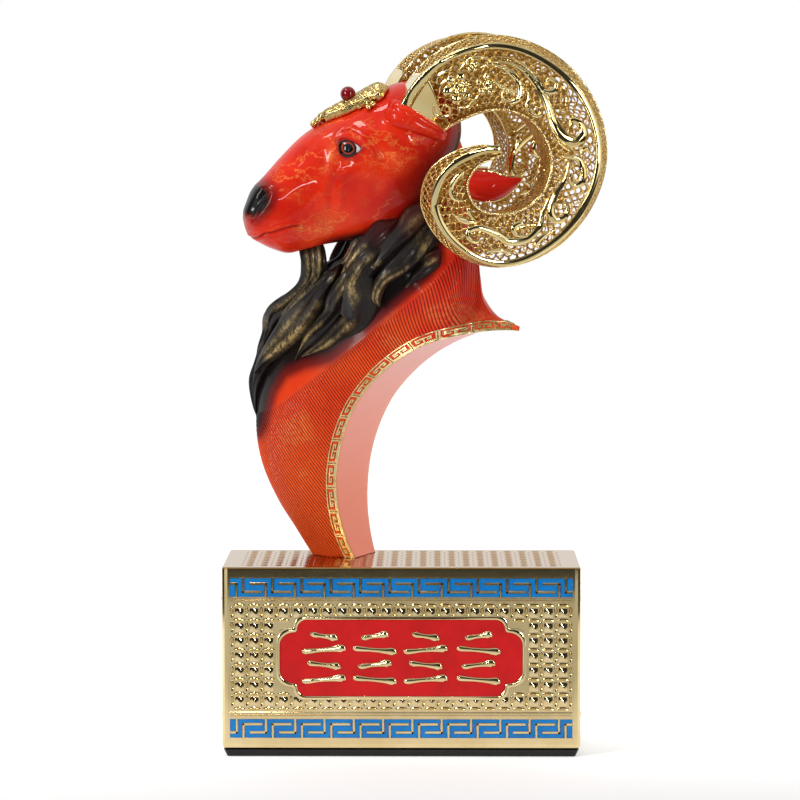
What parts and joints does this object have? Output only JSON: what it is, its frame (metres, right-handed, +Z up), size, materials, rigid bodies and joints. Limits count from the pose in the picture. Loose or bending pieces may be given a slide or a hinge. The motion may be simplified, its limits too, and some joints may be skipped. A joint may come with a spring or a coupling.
{
  "type": "ram head statuette on a plinth",
  "caption": "Ram's head and arched neck in red lacquer with pierced gold spiral horns and a dark beard, standing on a gold box plinth.",
  "frame": {"origin": "centre of the plinth's underside", "axes": "+Z up, +X to the right along the plinth's long front, +Y from the front panel to the back; the ram's nose points to -X"},
  "size_m": [0.1931, 0.138, 0.3636],
  "materials": {
    "red_lacquer": "glossy red lacquer over a cast body, orange at the neck's foot, black and bronze on the beard",
    "gold_plating": "polished gold plating",
    "red_glass": "polished dark red glass",
    "black_board": "black, slightly rough"
  },
  "bodies": {
    "root": {"bust": "red_lacquer", "horn_left": "gold_plating", "horn_right": "gold_plating", "forehead_plate": "gold_plating", "forehead_stone": "red_glass", "plinth_box": "gold_plating", "foot_board": "black_board"}
  },
  "joints": []
}
